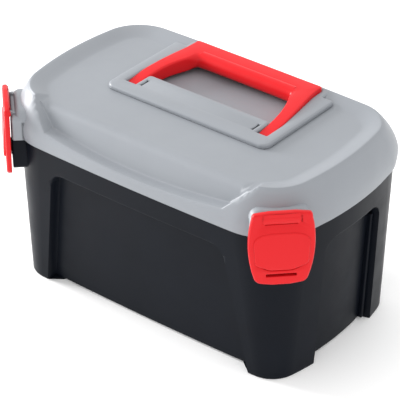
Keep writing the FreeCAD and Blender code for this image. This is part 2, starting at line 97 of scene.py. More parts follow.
class ShellSizes(bpy.types.PropertyGroup):
    """Sizes that the tub and the lid share"""
    half_length: length("Half length", "Half of the lid's length at the seam", 192)
    half_width: length("Half width", "Half of the lid's width at the seam", 120)
    corner: length("Corner", "Plan radius of the lid's corners at the seam", 62)
    side_bow: length("Side bow", "Radius of the long sides' gentle bow", 4200)
    end_bow: length("End bow", "Radius of the ends' bow", 340)
    wall: length("Wall", "Wall thickness of both mouldings", 2.4)
    tub_step: length("Tub step", "How far the lid stands proud of the tub", 2.6)


class TubSizes(bpy.types.PropertyGroup):
    """Sizes of the tub's tapered box and its pressed-in panels"""
    foot_inset_x: length("Foot inset along", "How far the tub draws in to its foot at the ends", 11.5)
    foot_inset_y: length("Foot inset across", "How far the tub draws in to its foot at the sides", 18)
    foot_corner: length("Foot corner", "Plan radius of the corners at the foot", 31)
    panel_depth: length("Panel depth", "Depth of the pressed-in panels", 11)
    panel_top: length("Panel top", "Height of the panels' upper edge", 150)
    panel_corner: length("Panel corner", "Radius of the panels' upper corners", 20)
    side_panel_top: length("Side panel top", "Half width of a side panel at its top", 111)
    side_panel_foot: length("Side panel foot", "Half width of a side panel at its foot", 135)
    end_panel_top: length("End panel top", "Half width of an end panel at its top", 48)
    end_panel_foot: length("End panel foot", "Half width of an end panel at its foot", 50.5)
    end_panel_shift: length("End panel shift", "How far the end panels sit to the rear", 5)
    panel_edge: length("Panel edge", "Width over which a panel's wall turns in", 3)
    rib_half: length("Rib half width", "Half width of the upright ribs on the end panels", 2)
    rib_rise: length("Rib rise", "How far the ribs stand out from the panels' floors", 5)
    rib_out: length("Rib place", "Distance of the ribs from the middle of their panel", 43.5)
    rib_top: length("Rib top", "Height of the ribs' upper ends", 134)
    foot_lift: length("Foot lift", "Clearance under the panels between the corner feet", 3)
    tongue: length("Tongue", "Height of the lip that stands inside the lid", 5)


class LidSizes(bpy.types.PropertyGroup):
    """Sizes of the lid's skirt, rim, dish and front scoop"""
    rim_inset_x: length("Rim inset along", "How far the skirt leans in to the rim at the ends", 12)
    rim_inset_y: length("Rim inset across", "How far the skirt leans in to the rim at the sides", 20)
    rim_shift: length("Rim shift", "How far the rim sits from the middle, forward negative", -2.5)
    rim_corner: length("Rim corner", "Plan radius of the rim's corners", 46)
    rim_land: length("Rim land", "Width of the rim's crest", 3)
    belt_height: length("Belt height", "Height at which the lid is widest", 190)
    belt_out: length("Belt", "How far the belt stands out from the seam", 1.5)
    bulge: length("Bulge", "Convexity of the skirt between belt and rim", 2.8)
    slope: length("Slope", "Width of the slope from the rim to the dish", 16.5)
    slope_end: ratio("Slope end", "Share of the slope's width left at the ends of the scoop", 0.68, 0.1, 1)
    dish: length("Dish", "Height of the dish floor", 218.5)
    scoop_half: length("Scoop", "Half length of the scoop's ledge along the front", 114)
    scoop_flare: ratio("Scoop flare", "How far the scoop's ends lean out per unit of height", 1.1, 0.2, 3)
    ledge: length("Ledge", "Height of the ledge in the middle of the scoop", 190.5)
    ledge_rise: length("Ledge rise", "How much higher the ledge's ends are", 7)
    ledge_rear: length("Ledge rear", "Distance of the ledge's rear edge from the middle", 108)
    shoulder: length("Shoulder", "Distance of the scoop's shoulder from the middle", 98)


class HandleSizes(bpy.types.PropertyGroup):
    """Sizes of the folding handle and of the island it lies in"""
    half_front: length("Half width, front", "Outside of the arms at their pivots", 91.5)
    half_rear: length("Half width, rear", "Outside of the arms at the grip", 81)
    arm_front: length("Arm width, front", "Width of an arm at its pivot", 14)
    arm_rear: length("Arm width, rear", "Width of an arm at the grip", 21)
    grip_front: length("Grip front", "Distance of the grip's front face from the middle", 65)
    grip_bottom: length("Grip bottom", "Height of the grip's underside", 211)
    end_radius: length("End radius", "Round nose of the arms at their pivots", 5.5)
    island_top: length("Island top", "Height of the raised island round the handle", 222)
    pan_floor: length("Pan floor", "Height of the finger pan's floor", 205)
    pan_front: length("Pan front", "Distance of the finger pan's front wall from the middle", 6)
    clip_gap: length("Clip wall", "Wall left between a clip slot and an arm's channel", 2.2)
    clip_slot: length("Clip slot width", "Width of the slots beside the arms", 4.6)
    clip_length: length("Clip slot length", "Length of the slots beside the arms", 15)
    bend_start: length("Bend start", "Where the arms begin to lean in, from the middle", 10)
    bend_end: length("Bend end", "Where the room for the arms turns into the grip's", 76)
    roll: length("Grip roll", "Radius of the round bar along the grip", 8.4)


class LatchSizes(bpy.types.PropertyGroup):
    """Sizes of the corner latches and of the blocks they sit on"""
    width: length("Width", "Greatest width of a latch", 65)
    foot_width: length("Foot width", "Width of a latch at its foot", 50)
    thickness: length("Thickness", "Thickness of a latch's plate", 5.5)
    stand_off: length("Stand-off", "Latch's face beyond the box corner", 8.5)
    pivot_out: length("Pivot", "Latch's pin beyond the box corner", 5)
    knuckle: length("Knuckle radius", "Radius of the latch's knuckle", 3.5)
    knuckle_half: length("Knuckle half length", "Half length of the latch's knuckle", 18)
    pad: length("Pad width", "Width of the raised thumb pad", 57)
    slot: length("Slot", "Length of the slot under the pad", 30)
    pedestal: length("Pedestal half width", "Half width of the blocks behind a latch", 29)
    pedestal_back: length("Pedestal set-back", "Lid block's face behind the box corner", 2.8)
    boss_out: length("Boss", "Tub block's face beyond the box corner", 1.6)
    boss_foot: length("Boss foot", "Height of the tub block's lower edge", 138)
    hook_half: length("Hook half length", "Half length of the hook and of the lip that it catches", 15)
    hook_low: length("Hook foot", "Height of the hook's underside", 146)
    hook_high: length("Hook top", "Height of the hook's upper face", 150)
    lip_low: length("Lip foot", "Height of the underside of the tub's lip", 152)
    lip_high: length("Lip top", "Height of the top of the tub's lip", 155)
    lug_radius: length("Lug radius", "Radius of the lugs that hold a latch's pin", 2.2)
    lug_thick: length("Lug thickness", "Thickness of the lugs that hold a latch's pin", 3)


class Colours(bpy.types.PropertyGroup):
    """Colours of the mouldings, linear light"""
    lid: colour("Lid", "Light grey lid", 0.262, 0.278, 0.302)
    tub: colour("Tub", "Near-black tub", 0.0050, 0.0066, 0.0105)
    red: colour("Red", "Handle and latches", 0.66, 0.010, 0.014)
    tray: colour("Tray", "Near-black tray", 0.012, 0.014, 0.018)
    steel: colour("Steel", "Pins", 0.55, 0.55, 0.56)
    floor: colour("Floor", "Floor", 0.96, 0.96, 0.96)


def sizes(group):
    """The scene's settings of one group."""
    return getattr(bpy.context.scene, "toolbox_" + group)


# ---- mesh helpers --------------------------------------------------------------------------------
def new_piece(name, verts, faces):
    mesh = bpy.data.meshes.new(name)
    mesh.from_pydata([tuple(v) for v in verts], [], faces)
    mesh.validate()
    mesh.update()
    mesh.polygons.foreach_set("use_smooth", [True] * len(mesh.polygons))
    piece = bpy.data.objects.new(name, mesh)
    bpy.context.scene.collection.objects.link(piece)
    return piece


def piece_from(name, bm):
    """Piece made of a bmesh, which is freed."""
    mesh = bpy.data.meshes.new(name)
    bm.to_mesh(mesh)
    bm.free()
    piece = bpy.data.objects.new(name, mesh)
    bpy.context.scene.collection.objects.link(piece)
    return piece


def outward(piece):
    """Face normals outwards, doubled points joined."""
    bm = bmesh.new()
    bm.from_mesh(piece.data)
    bmesh.ops.remove_doubles(bm, verts=bm.verts, dist=mm(0.001))
    bmesh.ops.recalc_face_normals(bm, faces=bm.faces)
    bm.to_mesh(piece.data)
    bm.free()
    return piece


def settle(piece):
    """Apply the modifiers."""
    depsgraph = bpy.context.evaluated_depsgraph_get()
    mesh = bpy.data.meshes.new_from_object(piece.evaluated_get(depsgraph))
    piece.modifiers.clear()
    old = piece.data
    piece.data = mesh
    bpy.data.meshes.remove(old)
    mesh.name = piece.name
    return piece


def thicken(piece, wall):
    """Give an open skin its wall, inwards."""
    bm = bmesh.new()
    bm.from_mesh(piece.data)
    bmesh.ops.remove_doubles(bm, verts=bm.verts, dist=mm(0.02))
    bmesh.ops.dissolve_degenerate(bm, edges=bm.edges, dist=mm(0.01))
    bm.to_mesh(piece.data)
    bm.free()
    shell = piece.modifiers.new("wall", "SOLIDIFY")
    shell.thickness = wall
    shell.offset = -1
    shell.use_even_offset = False
    return settle(piece)


def carve(piece, cutter):
    """Cut one mesh out of another."""
    cut = piece.modifiers.new("cut", "BOOLEAN")
    cut.operation = "DIFFERENCE"
    cut.solver = "EXACT"
    cut.object = cutter
    settle(piece)
    bpy.data.objects.remove(cutter)
    return piece


def soften(piece, width, segments=3):
    """Round the edges."""
    edge = piece.modifiers.new("edge", "BEVEL")
    edge.width = width
    edge.segments = segments
    edge.limit_method = "ANGLE"
    edge.angle_limit = math.radians(30)
    edge.harden_normals = False
    settle(piece)
    for polygon in piece.data.polygons:
        polygon.use_smooth = True
    crisp = piece.modifiers.new("normals", "WEIGHTED_NORMAL")
    crisp.keep_sharp = True
    return settle(piece)


def merge(name, parts):
    """Join meshes into one piece."""
    bm = bmesh.new()
    for part in parts:
        bm.from_mesh(part.data)
        bpy.data.objects.remove(part)
    return piece_from(name, bm)


def smoothstep(low, high, value):
    t = np.clip((value - low) / (high - low), 0, 1)
    return t * t * (3 - 2 * t)


class Plan:
    """Plan outline of bowed sides and round corners that meet tangent."""

    def __init__(self, half_x, half_y, corner, sizes, shift=0.0):
        self.corner = corner
        self.shift = shift
        self.side = sizes.side_bow
        self.end = sizes.end_bow
        self.x1 = half_x - self.end
        self.y2 = half_y - self.side
        reach_x = self.end - corner
        reach_y = self.side - corner
        span = math.hypot(self.x1, self.y2)
        along = (reach_x ** 2 - reach_y ** 2 + span ** 2) / (2 * span)
        off = math.sqrt(reach_x ** 2 - along ** 2)
        ux = -self.x1 / span
        uy = self.y2 / span
        self.cx = self.x1 + along * ux - off * uy
        self.cy = along * uy + off * ux
        self.from_end = math.atan2(self.cy, self.cx - self.x1)
        self.from_side = math.atan2(self.cy - self.y2, self.cx)

    def side_reach(self):
        return self.cx + self.corner * math.cos(self.from_side)

    def end_reach(self):
        return self.cy + self.corner * math.sin(self.from_end)

    def on_side(self, x, sign):
        return x, sign * (self.y2 + math.sqrt(self.side ** 2 - x * x)) + self.shift

    def on_end(self, y, sign):
        return sign * (self.x1 + math.sqrt(self.end ** 2 - y * y)), y + self.shift

    def on_corner(self, share, sign_x, sign_y):
        angle = self.from_end + (self.from_side - self.from_end) * share
        x = self.cx + self.corner * math.cos(angle)
        y = self.cy + self.corner * math.sin(angle)
        return sign_x * x, sign_y * y + self.shift


def ring(plan, sides, ends, corner_steps):
    """One loop of points round a plan, from the left of the front; sides and ends run low to high."""
    points = []
    shares = [i / corner_steps for i in range(corner_steps + 1)]
    points += [plan.on_side(x, -1) for x in sides]
    points += [plan.on_corner(1 - s, 1, -1) for s in shares]
    points += [plan.on_end(y, 1) for y in ends]
    points += [plan.on_corner(s, 1, 1) for s in shares]
    points += [plan.on_side(x, 1) for x in reversed(sides)]
    points += [plan.on_corner(1 - s, -1, 1) for s in shares]
    points += [plan.on_end(y, -1) for y in reversed(ends)]
    points += [plan.on_corner(s, -1, -1) for s in shares]
    return points


def mirrored(places):
    """Places from low to high out of their upper half."""
    return [-p for p in reversed(places) if p > 0] + list(places)


def lofted(name, rows, cap_first=False, cap_last=False):
    """Skin through rows of equally many points; each row is a closed loop."""
    count = len(rows[0])
    verts = [p for row in rows for p in row]
    faces = []
    for r in range(len(rows) - 1):
        for i in range(count):
            j = (i + 1) % count
            a = r * count
            b = a + count
            faces.append((a + i, a + j, b + j, b + i))
    if cap_first:
        faces.append(tuple(reversed(range(count))))
    if cap_last:
        last = (len(rows) - 1) * count
        faces.append(tuple(range(last, last + count)))
    return new_piece(name, verts, faces)


def round_corners(points, radii, steps=6):
    """A closed 2-D polygon with its corners rounded; one radius for all, or one for each."""
    out = []
    count = len(points)
    for i, point in enumerate(points):
        here = Vector(point)
        radius = radii[i] if isinstance(radii, (list, tuple)) else radii
        if radius <= 0:
            out.append(here)
            continue
        a = (Vector(points[i - 1]) - here).normalized()
        b = (Vector(points[(i + 1) % count]) - here).normalized()
        half = math.acos(max(-1, min(1, a.dot(b)))) / 2
        centre = here + (a + b).normalized() * (radius / math.sin(half))
        first = here + a * (radius / math.tan(half)) - centre
        last = here + b * (radius / math.tan(half)) - centre
        turn = math.atan2(last.y, last.x) - math.atan2(first.y, first.x)
        turn = (turn + math.pi) % (2 * math.pi) - math.pi
        for k in range(steps + 1):
            c = math.cos(turn * k / steps)
            s = math.sin(turn * k / steps)
            out.append(centre + Vector((first.x * c - first.y * s, first.x * s + first.y * c)))
    return out


def rounded_box(x0, x1, y0, y1, radii, steps):
    """Closed 2-D rectangle with round corners, from its low left one."""
    return round_corners([(x0, y0), (x1, y0), (x1, y1), (x0, y1)], radii, steps)


SHARPEST_TURN = 0.4   # cosine of half a corner's turn beyond which an offset grows no further


def offset_loop(points, distance):
    """Closed 2-D loop moved outwards (counter-clockwise loops) by a distance."""
    out = []
    count = len(points)
    for i in range(count):
        before = (points[i] - points[i - 1]).normalized()
        after = (points[(i + 1) % count] - points[i]).normalized()
        normal = Vector((before.y + after.y, -before.x - after.x))
        normal.normalize()
        cosine = max(SHARPEST_TURN, normal.dot(Vector((before.y, -before.x))))
        out.append(points[i] + normal * (distance / cosine))
    return out


def edge_rows(radius, top, steps=4, sign=-1):
    """Rows (offset, z) of a quarter-round edge, from the flat top down to the wall."""
    rows = []
    for k in range(steps + 1):
        a = math.pi / 2 * k / steps
        rows.append((sign * radius * (1 - math.sin(a)), top - radius * (1 - math.cos(a))))
    return rows


def skin(name, loop, rows, holes=(), back=False):
    """Flat-topped moulding: each closed loop carries rows (offset, z) from the top down.
    holes are (loop, rows, floored); back closes the underside between the last rows."""
    bm = bmesh.new()

    def strip(points, rows):
        strips = []
        for shift, z in rows:
            shifted = offset_loop(points, shift)
            strips.append([bm.verts.new((p.x, p.y, z)) for p in shifted])
        for above, below in zip(strips, strips[1:]):
            for i in range(len(above)):
                j = (i + 1) % len(above)
                bm.faces.new((above[i], above[j], below[j], below[i]))
        return strips

    def fill(loops):
        edges = []
        for verts in loops:
            for i, vert in enumerate(verts):
                follower = verts[(i + 1) % len(verts)]
                edges.append(bm.edges.get((vert, follower)) or bm.edges.new((vert, follower)))
        bmesh.ops.triangle_fill(bm, edges=edges, use_beauty=True)

    outer = strip(loop, rows)
    inner = [strip(hole, hole_rows) for hole, hole_rows, _ in holes]
    fill([outer[0]] + [strips[0] for strips in inner])
    for strips, (_, _, floored) in zip(inner, holes):
        if floored:
            fill([strips[-1]])
    if back:
        fill([outer[-1]] + [strips[-1] for strips in inner])
    bmesh.ops.recalc_face_normals(bm, faces=bm.faces)
    highest = max(bm.faces, key=lambda face: face.calc_center_median().z)
    if highest.normal.z < 0:
        bmesh.ops.reverse_faces(bm, faces=bm.faces)
    return creased(piece_from(name, bm))


def block(name, x0, x1, y0, y1, z0, z1, edge, segments=3):
    """Small moulded block with round edges."""
    verts = [(x, y, z) for x in (x0, x1) for y in (y0, y1) for z in (z0, z1)]
    faces = [(0, 1, 3, 2), (4, 6, 7, 5), (0, 4, 5, 1), (2, 3, 7, 6), (0, 2, 6, 4), (1, 5, 7, 3)]
    piece = outward(new_piece(name, verts, faces))
    return soften(piece, edge, segments) if edge else piece


def barrel(name, radius, start, stop, chamfer, steps=40):
    """Turned pin or knuckle along X with chamfered ends."""
    rows = []
    for x, r in ((start, radius - chamfer), (start + chamfer, radius), (stop - chamfer, radius),
                 (stop, radius - chamfer)):
        rows.append([(x, r * math.cos(2 * math.pi * k / steps), r * math.sin(2 * math.pi * k / steps))
                     for k in range(steps)])
    piece = outward(lofted(name, rows, cap_first=True, cap_last=True))
    return creased(piece, 25)


def creased(piece, angle=30):
    """Smooth shading that keeps edges sharper than the angle."""
    for polygon in piece.data.polygons:
        polygon.use_smooth = True
    piece.data.set_sharp_from_angle(angle=math.radians(angle))
    return piece


def extruded(name, outline, x0, x1):
    """Prism along X of a (y, z) outline."""
    rows = [[(x, y, z) for y, z in outline] for x in (x0, x1)]
    return outward(lofted(name, rows, cap_first=True, cap_last=True))


def moved(piece, place):
    piece.data.transform(place)
    piece.data.update()
    return piece


def on_pin(part):
    """Part drawn about the X axis, put on a latch's pin."""
    return moved(part, Matrix.Translation((0, -sizes("latch").pivot_out, LATCH_PIVOT.z)))


def to_corner(side):
    """From a latch drawn facing -Y, with the pivot at x = 0, to its corner of the box."""
    turn = Matrix.Rotation(math.radians(45 * side), 4, "Z")
    pin = turn @ Vector((0, -sizes("latch").pivot_out, 0))
    return Matrix.Translation(Vector((LATCH_PIVOT.x * side, LATCH_PIVOT.y, 0)) - pin) @ turn


def install(piece, body, slot, material, *stands_for):
    """Give a piece its finish and say what it rides on and what it stands for."""
    piece.data.materials.clear()
    piece.data.materials.append(material)
    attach(piece, body)
    if stands_for:
        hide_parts(*stands_for)
    return piece


# ---- finishes ------------------------------------------------------------------------------------
def tree_of(name):
    material = bpy.data.materials.new(name)
    material.use_nodes = True
    tree = material.node_tree
    shader = next(n for n in tree.nodes if n.type == "BSDF_PRINCIPLED")
    return material, tree, shader


def noise(tree, scale, detail, roughness=0.5):
    place = tree.nodes.new("ShaderNodeTexCoord")
    node = tree.nodes.new("ShaderNodeTexNoise")
    node.inputs["Scale"].default_value = scale
    node.inputs["Detail"].default_value = detail
    node.inputs["Roughness"].default_value = roughness
    tree.links.new(place.outputs["Object"], node.inputs["Vector"])
    return node


def ranged(tree, source, low, high):
    """Spread the middle of a noise over a range."""
    node = tree.nodes.new("ShaderNodeMapRange")
    node.inputs["From Min"].default_value = 0.3
    node.inputs["From Max"].default_value = 0.7
    node.inputs["To Min"].default_value = low
    node.inputs["To Max"].default_value = high
    tree.links.new(source, node.inputs["Value"])
    return node.outputs["Result"]


MIX_A = 6          # the mix node's colour sockets share their names with others, so they go by number
MIX_B = 7
MIX_RESULT = 2


def blended(tree, share, first, second, shader):
    """Base colour that goes from first to second by a share."""
    mix = tree.nodes.new("ShaderNodeMix")
    mix.data_type = "RGBA"
    mix.inputs[MIX_A].default_value = (*first, 1)
    mix.inputs[MIX_B].default_value = (*second, 1)
    tree.links.new(share, mix.inputs["Factor"])
    tree.links.new(mix.outputs[MIX_RESULT], shader.inputs["Base Color"])


FLOW_SCALE = 14
GLOSS_SCALE = 45
GRAIN_SCALE = 2600
STREAK_SCALE = 900
GLOSS_SPREAD = 0.05


def moulded(name, base, roughness, mottle=0.02, grain=0.06, specular=0.45):
    """Moulded polypropylene: flow mottling, uneven gloss and a fine spark-eroded grain."""
    material, tree, shader = tree_of(name)
    flow = noise(tree, FLOW_SCALE, 4, 0.6)
    dark = [c * (1 - mottle) for c in base]
    light = [min(1, c * (1 + mottle)) for c in base]
    blended(tree, ranged(tree, flow.outputs["Fac"], 0, 1), dark, light, shader)
    gloss = noise(tree, GLOSS_SCALE, 5, 0.6)
    tree.links.new(ranged(tree, gloss.outputs["Fac"], roughness - GLOSS_SPREAD, roughness + GLOSS_SPREAD),
                   shader.inputs["Roughness"])
    fine = noise(tree, GRAIN_SCALE, 2)
    bump = tree.nodes.new("ShaderNodeBump")
    bump.inputs["Strength"].default_value = grain
    bump.inputs["Distance"].default_value = mm(0.06)
    tree.links.new(fine.outputs["Fac"], bump.inputs["Height"])
    tree.links.new(bump.outputs["Normal"], shader.inputs["Normal"])
    shader.inputs["Specular IOR Level"].default_value = specular
    return material


def plated(name, base):
    """Drawn, zinc-plated wire."""
    material, tree, shader = tree_of(name)
    shader.inputs["Metallic"].default_value = 1.0
    streak = noise(tree, STREAK_SCALE, 3)
    blended(tree, streak.outputs["Fac"], [c * 0.85 for c in base], base, shader)
    tree.links.new(ranged(tree, streak.outputs["Fac"], 0.28, 0.42), shader.inputs["Roughness"])
    return material


FINISHES = {}


def finish(name):
    if name not in FINISHES:
        c = sizes("colours")
        FINISHES.update({
            "lid": moulded("light grey moulding", c.lid, 0.42),
            "tub": moulded("black moulding", c.tub, 0.36, mottle=0.12, specular=0.08),
            "red": moulded("red moulding", c.red, 0.34, grain=0.012, specular=0.2),
            "tray": moulded("black tray moulding", c.tray, 0.42, mottle=0.1),
            "divider": moulded("grey divider moulding", c.lid, 0.45, mottle=0.03),
            "steel": plated("zinc plated wire", c.steel),
        })
    return FINISHES[name]


# ---- lid -----------------------------------------------------------------------------------------
LID_CORNER_STEPS = 30


def skirt_plan(z):
    """Plan of the lid's outside at a height: seam, belt, convex shoulder, rim."""
    shell = sizes("shell")
    lid = sizes("lid")
    if z <= lid.belt_height:
        rise = max(0, (z - SEAM) / (lid.belt_height - SEAM))
        out = lid.belt_out * math.sin(math.pi / 2 * rise)
        return Plan(shell.half_length + out, shell.half_width + out, shell.corner + out, shell)
    share = (z - lid.belt_height) / (RIM - lid.belt_height)
    out = lid.belt_out * (1 - share) + lid.bulge * 4 * share * (1 - share)
    return Plan(shell.half_length - lid.rim_inset_x * share + out,
                shell.half_width - lid.rim_inset_y * share + out,
                shell.corner + (lid.rim_corner - shell.corner) * share + out, shell,
                lid.rim_shift * share)


def rim_plan(inset):
    shell = sizes("shell")
    lid = sizes("lid")
    return Plan(shell.half_length - lid.rim_inset_x - inset, shell.half_width - lid.rim_inset_y - inset,
                lid.rim_corner - inset, shell, lid.rim_shift)


def slope_share(x, y):
    """The slope down to the dish grows narrow beside the scoop."""
    lid = sizes("lid")
    if y > 0:
        return 1.0
    start = lid.scoop_half + mm(10)
    stop = start + mm(40)
    return lid.slope_end + (1 - lid.slope_end) * float(smoothstep(start, stop, abs(x)))


def lid_rows(sides, ends):
    """Rows of points from the seam up over the rim and down to the dish."""
    lid = sizes("lid")
    edge = mm(1.3)
    fall = (RIM - lid.dish) / lid.slope

    def level(plan, z):
        return [(x, y, z) for x, y in ring(plan, sides, ends, LID_CORNER_STEPS)]

    rows = [level(skirt_plan(SEAM), SEAM + mm(0.2))]
    rows += [level(skirt_plan(z), z) for z in np.linspace(SEAM + mm(0.8), RIM - edge, 11)]
    for k in range(1, 5):
        a = math.pi / 2 * k / 4
        rows.append(level(rim_plan(edge * (1 - math.cos(a))), RIM - edge * (1 - math.sin(a))))
    land = lid.rim_land
    rows.append(level(rim_plan(land - mm(1.0)), RIM))
    crest = level(rim_plan(land), RIM)
    down = [(mm(0.8), RIM - mm(0.8) * fall - mm(0.15))]
    down += [(lid.slope * share, RIM - lid.slope * share * fall) for share in (0.3, 0.55, 0.8)]
    down += [(lid.slope - mm(1.2), lid.dish + mm(0.6)), (lid.slope + mm(0.8), lid.dish + mm(0.12)),
             (lid.slope + mm(3), lid.dish), (lid.slope + mm(4), lid.dish)]
    for inset, z in down:
        row = []
        for (x0, y0, _), (x, y, _) in zip(crest, level(rim_plan(land + inset), z), strict=True):
            share = slope_share(x0, y0)
            row.append((x0 + (x - x0) * share, y0 + (y - y0) * share, z))
        rows.append(row)
    return rows


def bent(first, corner, last, steps):
    """Points of a rounded corner from first to last, without the first."""
    points = []
    for k in range(1, steps + 1):
        t = k / steps
        points.append(tuple(first[i] * (1 - t) ** 2 + 2 * corner[i] * t * (1 - t) + last[i] * t * t
                            for i in (0, 1)))
    return points


def toward(start, goal, distance):
    span = math.dist(start, goal)
    return tuple(start[i] + (goal[i] - start[i]) * distance / span for i in (0, 1))


def ramp_height(x):
    """Height of the scoop's flared end at a distance from the middle."""
    lid = sizes("lid")
    return lid.ledge + lid.ledge_rise + (abs(x) - lid.scoop_half) / lid.scoop_flare


def scoop_height(x, y):
    """Upper bound that the scoop and its ends put on the lid beyond the straight part of the front."""
    lid = sizes("lid")
    behind = (y + lid.ledge_rear) / (lid.ledge_rear - lid.shoulder)
    wall = lid.ledge + lid.ledge_rise
    wall += (lid.dish - wall) * max(0, min(1, behind))
    if y > -lid.shoulder:
        wall = lid.dish
    return max(wall, ramp_height(x))


def scoop_profile(x):
    """(y, z) from the seam up to the smile-shaped ledge, over it, up the steep wall to the dish."""
    lid = sizes("lid")
    smile = min(1, (x / lid.scoop_half) ** 2)
    ledge = max(lid.ledge + lid.ledge_rise * smile, ramp_height(x))

    def skirt(z):
        return skirt_plan(z).on_side(x, -1)[1], z

    front = skirt(ledge)
    top = (-lid.shoulder, lid.dish)
    climb = max(0, ledge - lid.ledge - lid.ledge_rise) / (lid.dish - lid.ledge - lid.ledge_rise)
    start = -lid.ledge_rear + mm(4) * smile
    foot = (start + (top[0] - start) * climb, ledge)
    points = [skirt(SEAM + mm(0.2))] + [skirt(z) for z in np.linspace(SEAM + mm(0.8), ledge - mm(1.2), 7)]
    points += bent(points[-1], front, toward(front, foot, mm(1.2)), 3)
    turn_in = toward(foot, front, mm(1.6))
    points += [toward(points[-1], turn_in, math.dist(points[-1], turn_in) * 0.5), turn_in]
    points += bent(turn_in, foot, toward(foot, top, mm(1.6)), 3)
    before = toward(top, foot, mm(8))
    points.append(toward(points[-1], before, math.dist(points[-1], before) * 0.5))
    points.append(before)
    behind = (top[0] + mm(8), lid.dish)
    points += bent(before, top, behind, 5)
    points += [(behind[0] + mm(1), lid.dish), (behind[0] + mm(2), lid.dish)]
    return points


def lid_shell():
    """Outer skin of the lid, with the scoop let into its front."""
    lid = sizes("lid")
    half = lid.scoop_half
    sides = [mm(v) for v in range(0, 103, 9)]
    sides += [half + mm(v) for v in (-8, -4, -2, -1, 0, 1, 2, 4, 6, 8, 10)]
    ends = [mm(v) for v in (0, 14, 28, 42)]
    sides = mirrored(sides)
    rows = lid_rows(sides, mirrored(ends))
    along_front = len(sides)
    for i in range(along_front):
        x = rows[0][i][0]
        for row, (y, z) in zip(rows, scoop_profile(x), strict=True):
            row[i] = (x, y, z)
    for row in rows:
        for i in range(along_front, len(row)):
            x, y, z = row[i]
            if y < 0 and z > lid.ledge + lid.ledge_rise:
                row[i] = (x, y, min(z, scoop_height(x, y)))
    rows.append(island_foot(rows[-1]))
    return lofted("lid_shell", rows)


ISLAND_HALF = (HANDLE_HIGH.x - HANDLE_LOW.x) / 2 + mm(10.5)
ISLAND_FRONT = HANDLE_LOW.y - mm(16.5)
ISLAND_REAR = HANDLE_HIGH.y + mm(2.5)
ISLAND_SIDE_REAR = HANDLE_HIGH.y - mm(12)
ISLAND_NECK = ISLAND_HALF - mm(14)


def island_foot(row):
    """Where the dish runs in under the island's walls, point for point with the row round it."""
    middle = Vector((0, (ISLAND_FRONT + ISLAND_REAR) / 2))
    half_y = (ISLAND_REAR - ISLAND_FRONT) / 2 - mm(1)
    points = []
    for x, y, z in row:
        half_x = (ISLAND_HALF if y < ISLAND_SIDE_REAR else ISLAND_NECK) - mm(1)
        ray = Vector((x, y)) - middle
        reach = min(half_x / max(abs(ray.x), 1e-9), half_y / max(abs(ray.y), 1e-9), 1.0)
        points.append((middle.x + ray.x * reach, middle.y + ray.y * reach, z - mm(0.05)))
    return points


def handle_outside(y):
    """Half-width of the folded handle outside its arms, which run straight into the grip's ends."""
    handle = sizes("handle")
    bend = handle.bend_start
    lean = max(0, min(1, (y - bend) / (handle.grip_front + mm(12) - bend)))
    return handle.half_front + (handle.half_rear - handle.half_front) * lean ** 1.15


def handle_inside(y):
    """Half-width between the arms; it closes in faster towards the grip."""
    handle = sizes("handle")
    lean = max(0, y / handle.grip_front)
    front = handle.half_front - handle.arm_front
    return front + (handle.half_rear - handle.arm_rear - front) * lean ** 2.2


def pan_loop(gap, tongue):
    """Outline of the room for the folded handle, with the tongue of island between its arms."""
    handle = sizes("handle")
    front = HANDLE_LOW.y - gap
    inner = handle.half_front - handle.arm_front - gap
    outer = handle_outside(front) + gap
    rear = HANDLE_HIGH.y + gap
    start = handle.bend_start
    end = handle.bend_end
    at_end = handle_outside(end) + gap
    at_rear = handle_outside(rear) + gap
    points = [(-outer, front), (-inner, front), (-inner, tongue), (inner, tongue), (inner, front),
              (outer, front), (outer, start), (at_end, end), (at_rear, rear), (-at_rear, rear),
              (-at_end, end), (-outer, start)]
    radii = [mm(r) for r in (2, 1, 3, 3, 1, 2, 20, 12, 1.5, 1.5, 12, 20)]
    return round_corners(points, radii, 5)


def lid_island():
    """Raised island round the folded handle, with the pan, the arms' channels and the clip slots."""
    lid = sizes("lid")
    handle = sizes("handle")
    top = handle.island_top
    corner = mm(8)
    points = [(-ISLAND_HALF, ISLAND_FRONT), (ISLAND_HALF, ISLAND_FRONT), (ISLAND_HALF, ISLAND_SIDE_REAR),
              (ISLAND_NECK, ISLAND_SIDE_REAR), (ISLAND_NECK, ISLAND_REAR), (-ISLAND_NECK, ISLAND_REAR),
              (-ISLAND_NECK, ISLAND_SIDE_REAR), (-ISLAND_HALF, ISLAND_SIDE_REAR)]
    outer = round_corners(points, [corner, corner] + [mm(1.6)] * 6, 8)
    down = [(0, lid.dish + mm(0.9)), (mm(0.4), lid.dish + mm(0.3)), (mm(1.0), lid.dish - mm(0.1))]
    pan = edge_rows(mm(0.7), top, 4, sign=1)
    pan += [(0, top - mm(6)), (0, handle.pan_floor + mm(1.6)), (-mm(0.5), handle.pan_floor + mm(0.5)),
            (-mm(1.6), handle.pan_floor)]
    holes = [(pan_loop(mm(1.2), handle.pan_front), pan, True)]
    slot_in = handle.half_front - handle.arm_front - mm(1.2) - handle.clip_gap
    for side in (1, -1):
        a, b = sorted((side * slot_in, side * (slot_in - handle.clip_slot)))
        loop = rounded_box(a, b, HANDLE_LOW.y, HANDLE_LOW.y + handle.clip_length, mm(0.5), 3)
        holes.append((loop, edge_rows(mm(0.35), top, 3, sign=1) + [(0, top - mm(1))], False))
    return thicken(skin("lid_island", outer, edge_rows(mm(1.1), top) + down, holes), mm(1.6))


def pan_cutter():
    """What is cut from the dish under the island, so that the pan is open."""
    loop = pan_loop(mm(1.5), mm(60))
    rows = [(0, RIM + mm(6)), (0, sizes("handle").pan_floor - mm(4))]
    return skin("pan_cutter", loop, rows, back=True)


